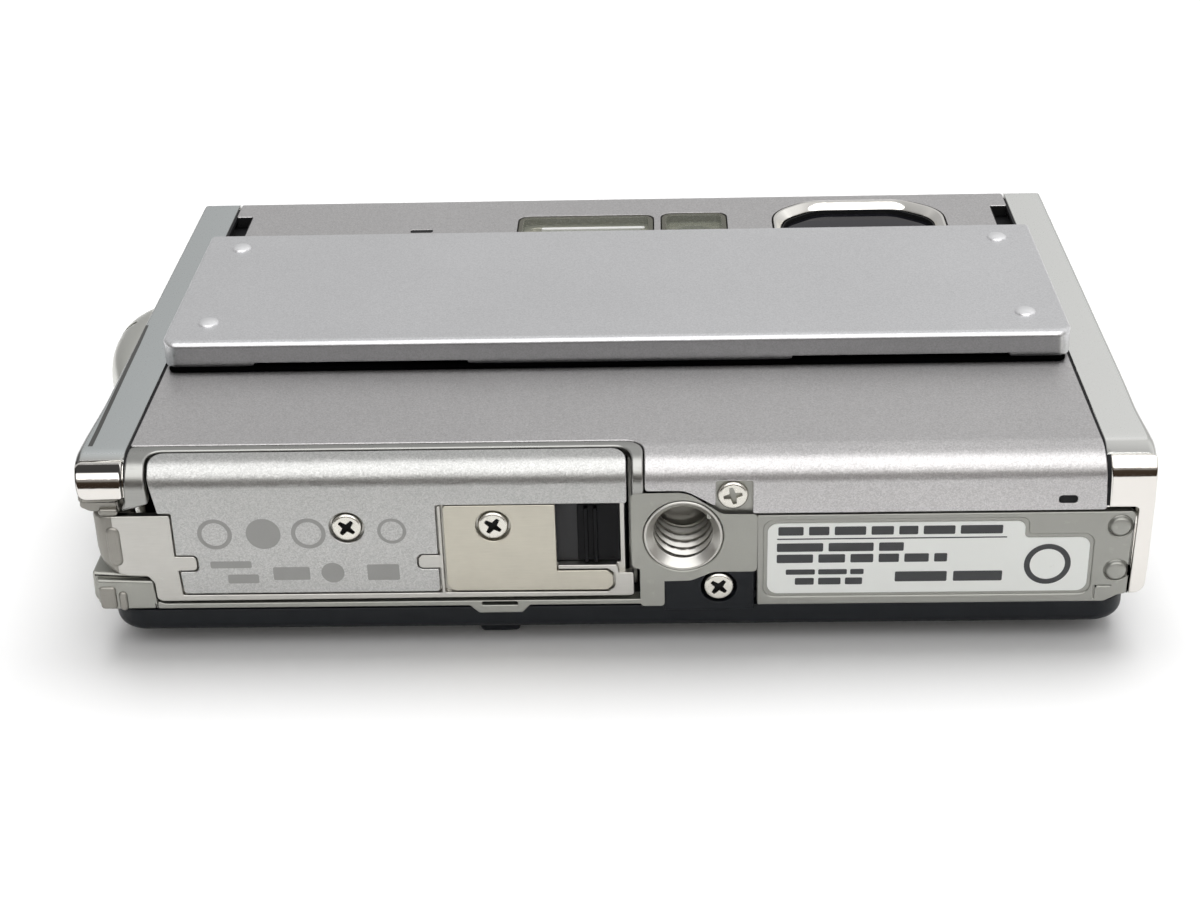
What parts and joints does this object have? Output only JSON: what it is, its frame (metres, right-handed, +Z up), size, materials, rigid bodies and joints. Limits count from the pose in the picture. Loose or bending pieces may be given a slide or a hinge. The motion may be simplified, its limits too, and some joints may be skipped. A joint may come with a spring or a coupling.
{
  "type": "compact digital camera",
  "caption": "Slim metal-bodied compact digital camera with a sliding lens cover, a hinged battery and card door in the base, a tripod socket and rear controls.",
  "frame": {"origin": "middle of the underside of the bounding box, with the camera standing upright on its base", "axes": "+X to the right seen from the front, +Y from the lens side to the screen side, +Z up"},
  "size_m": [0.0942, 0.0214, 0.0616],
  "materials": {
    "satin_paint": "satin silver metallic paint with a fine flake",
    "side_trim": "bright satin plating with polished ends",
    "lens_chrome": "polished",
    "stainless": "satin stainless steel",
    "latch_steel": "plain pressed stainless steel, warm grey",
    "casting": "bead-blasted grey casting",
    "rear_plastic": "dark navy-black satin plastic",
    "slider_plastic": "gloss black",
    "inner_plastic": "black moulded parts inside",
    "clear": "clear",
    "dark_glass": "black-backed window",
    "reflector": "silvered reflector",
    "label": "white printed sticker",
    "seal": "soft grey rubber",
    "board": "green circuit board",
    "battery_wrap": "dark printed wrap"
  },
  "bodies": {
    "camera_body": {"front_panel": "satin_paint", "left_side_trim": "side_trim", "right_side_trim": "side_trim", "top_cover": "side_trim", "bottom_plate": "stainless", "rating_label": "label", "chassis": "casting", "tripod_socket": "stainless", "lens_ring": "lens_chrome", "lens_window": "dark_glass", "flash_window": "clear", "flash_unit": "reflector", "lamp_window": "clear", "af_lamp": "clear", "lens_housing": "inner_plastic", "lens_prism": "clear", "image_sensor": "inner_plastic", "rear_case": "rear_plastic", "lcd_window": "dark_glass", "lcd_panel": "inner_plastic", "hinge_pin": "stainless", "body_screw_1": "stainless", "body_screw_2": "stainless", "main_board": "board", "card_socket": "stainless", "battery": "battery_wrap", "memory_card": "inner_plastic", "flash_capacitor": "inner_plastic", "speaker": "inner_plastic", "microphone": "stainless", "port_hinge_pin": "stainless", "port_connector": "stainless"},
    "sliding_cover": {"slide_cover": "satin_paint", "cover_shoe_left": "inner_plastic", "cover_shoe_right": "inner_plastic"},
    "battery_door": {"door_frame": "stainless", "door_skin": "satin_paint", "latch_plate": "latch_steel", "door_seal": "seal", "door_screw_1": "stainless", "door_screw_2": "stainless"},
    "door_lock": {"lock_slider": "slider_plastic"},
    "dial": {"mode_dial": "rear_plastic"},
    "rocker": {"zoom_rocker": "rear_plastic"},
    "menu_key": {"menu_button": "rear_plastic"},
    "playback_key": {"playback_button": "rear_plastic"},
    "display_key": {"display_button": "rear_plastic"},
    "erase_key": {"erase_button": "rear_plastic"},
    "ok_key": {"ok_button": "rear_plastic"},
    "pad_gimbal": {"pad_carrier": "inner_plastic"},
    "pad": {"arrow_pad": "rear_plastic"},
    "shutter_key": {"shutter_button": "side_trim"},
    "power_key": {"power_button": "side_trim"},
    "port_door": {"port_cover": "side_trim"},
    "zoom_group": {"zoom_lens_group": "inner_plastic"},
    "compensator_group": {"compensator_lens_group": "inner_plastic"},
    "focus_group": {"focus_lens_group": "inner_plastic"}
  },
  "joints": [
    {"name": "battery_door_hinge", "type": "hinge", "parent": "camera_body", "child": "battery_door", "pos_m": [-0.04185, 0.00035, 0.00155], "axis": [0, 1, 0], "range_deg": [0, 100]},
    {"name": "battery_lock_slide", "type": "slide", "parent": "battery_door", "child": "door_lock", "axis": [-1, 0, 0], "range_m": [0, 0.0018]},
    {"name": "cover_slide", "type": "slide", "parent": "camera_body", "child": "sliding_cover", "axis": [0, 0, 1], "range_m": [0, 0.0165]},
    {"name": "dial_turn", "type": "hinge", "parent": "camera_body", "child": "dial", "pos_m": [-0.02775, 0.0081, 0.0427], "axis": [0, -1, 0], "continuous": true},
    {"name": "display_press", "type": "slide", "parent": "camera_body", "child": "display_key", "axis": [0, -1, 0], "range_m": [0, 0.0004]},
    {"name": "erase_press", "type": "slide", "parent": "camera_body", "child": "erase_key", "axis": [0, -1, 0], "range_m": [0, 0.0004]},
    {"name": "menu_press", "type": "slide", "parent": "camera_body", "child": "menu_key", "axis": [0, -1, 0], "range_m": [0, 0.0004]},
    {"name": "ok_press", "type": "slide", "parent": "camera_body", "child": "ok_key", "axis": [0, -1, 0], "range_m": [0, 0.0004]},
    {"name": "playback_press", "type": "slide", "parent": "camera_body", "child": "playback_key", "axis": [0, -1, 0], "range_m": [0, 0.0004]},
    {"name": "pad_tilt_up_down", "type": "hinge", "parent": "camera_body", "child": "pad_gimbal", "pos_m": [-0.02775, 0.0077, 0.0217], "axis": [1, 0, 0], "range_deg": [-2, 2]},
    {"name": "pad_tilt_left_right", "type": "hinge", "parent": "pad_gimbal", "child": "pad", "pos_m": [-0.02775, 0.0077, 0.0217], "axis": [0, 0, 1], "range_deg": [-2, 2]},
    {"name": "port_cover_hinge", "type": "hinge", "parent": "camera_body", "child": "port_door", "pos_m": [0.04615, 0.0036, 0.0312], "axis": [0, 0, 1], "range_deg": [0, 100]},
    {"name": "shutter_press", "type": "slide", "parent": "camera_body", "child": "shutter_key", "axis": [0, 0, -1], "range_m": [0, 0.0006]},
    {"name": "power_press", "type": "slide", "parent": "camera_body", "child": "power_key", "axis": [0, 0, -1], "range_m": [0, 0.0005]},
    {"name": "zoom_rocker_tilt", "type": "hinge", "parent": "camera_body", "child": "rocker", "pos_m": [-0.02775, 0.008, 0.0536], "axis": [0, 0, 1], "range_deg": [-3, 3]},
    {"name": "zoom_lens_slide", "type": "slide", "parent": "camera_body", "child": "zoom_group", "axis": [0, 0, -1], "range_m": [0, 0.009]},
    {"name": "compensator_slide", "type": "slide", "parent": "camera_body", "child": "compensator_group", "axis": [0, 0, -1], "range_m": [-0.0015, 0]},
    {"name": "focus_slide", "type": "slide", "parent": "camera_body", "child": "focus_group", "axis": [0, 0, -1], "range_m": [0, 0.002]}
  ],
  "couplings": [
    {"joint": "compensator_slide", "follows": "zoom_lens_slide", "ratio": -0.16}
  ]
}
